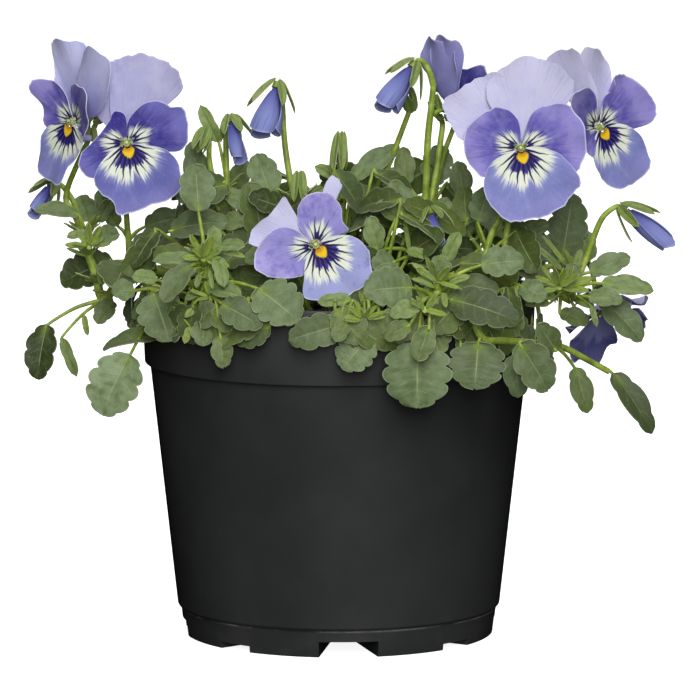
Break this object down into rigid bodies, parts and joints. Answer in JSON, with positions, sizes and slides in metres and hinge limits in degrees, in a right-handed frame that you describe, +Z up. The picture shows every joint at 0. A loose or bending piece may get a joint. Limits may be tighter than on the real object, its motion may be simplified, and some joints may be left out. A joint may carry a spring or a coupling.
{
  "type": "potted horned violet",
  "caption": "Horned violet in bloom, with notched oval leaves, spurred five-petalled flowers and nodding buds, growing in a thin-walled round nursery pot with a rim band and a notched foot.",
  "frame": {"origin": "centre of the pot's underside, on the surface that the pot stands on", "axes": "+Z up along the pot's axis, front of the plant at -Y, right side of the plant at +X"},
  "size_m": [0.1752, 0.1232, 0.1623],
  "materials": {
    "pot_plastic": "satin black moulded plastic",
    "soil": "matte crumbly peat compost",
    "foliage": "soft grey-green leaf with paler edges and midribs",
    "face_petals": "velvety blue-violet with a cream blotch, dark rays and a yellow eye",
    "upper_petals": "thin pale lilac petal with faint veins",
    "bud_petals": "rolled violet petal"
  },
  "bodies": {
    "root": {"pot": "pot_plastic", "soil": "soil", "bloom_1_face_petals": "face_petals", "bloom_1_upper_petals": "upper_petals", "bloom_2_face_petals": "face_petals", "bloom_2_upper_petals": "upper_petals", "bloom_3_face_petals": "face_petals", "bloom_3_upper_petals": "upper_petals", "bloom_4_face_petals": "face_petals", "bloom_4_upper_petals": "upper_petals", "bloom_5_face_petals": "face_petals", "bloom_5_upper_petals": "upper_petals", "bloom_6_face_petals": "face_petals", "bloom_6_upper_petals": "upper_petals", "bloom_7_face_petals": "face_petals", "bloom_7_upper_petals": "upper_petals", "bud_1_petals": "bud_petals", "bud_2_petals": "bud_petals", "bud_3_petals": "bud_petals", "bud_4_petals": "bud_petals", "bud_6_petals": "bud_petals", "bud_9_petals": "bud_petals", "shoot_left": "foliage", "shoot_rear_left": "foliage", "shoot_low_left": "foliage", "shoot_front_left": "foliage", "shoot_rear_mid_left": "foliage", "shoot_centre": "foliage", "shoot_front_centre": "foliage", "shoot_rear_centre": "foliage", "shoot_mid_right": "foliage", "shoot_front_right": "foliage", "shoot_mid_far_right": "foliage", "shoot_right": "foliage", "shoot_low_right": "foliage", "shoot_back_1": "foliage", "shoot_back_2": "foliage", "shoot_back_3": "foliage", "shoot_back_4": "foliage"}
  },
  "joints": []
}
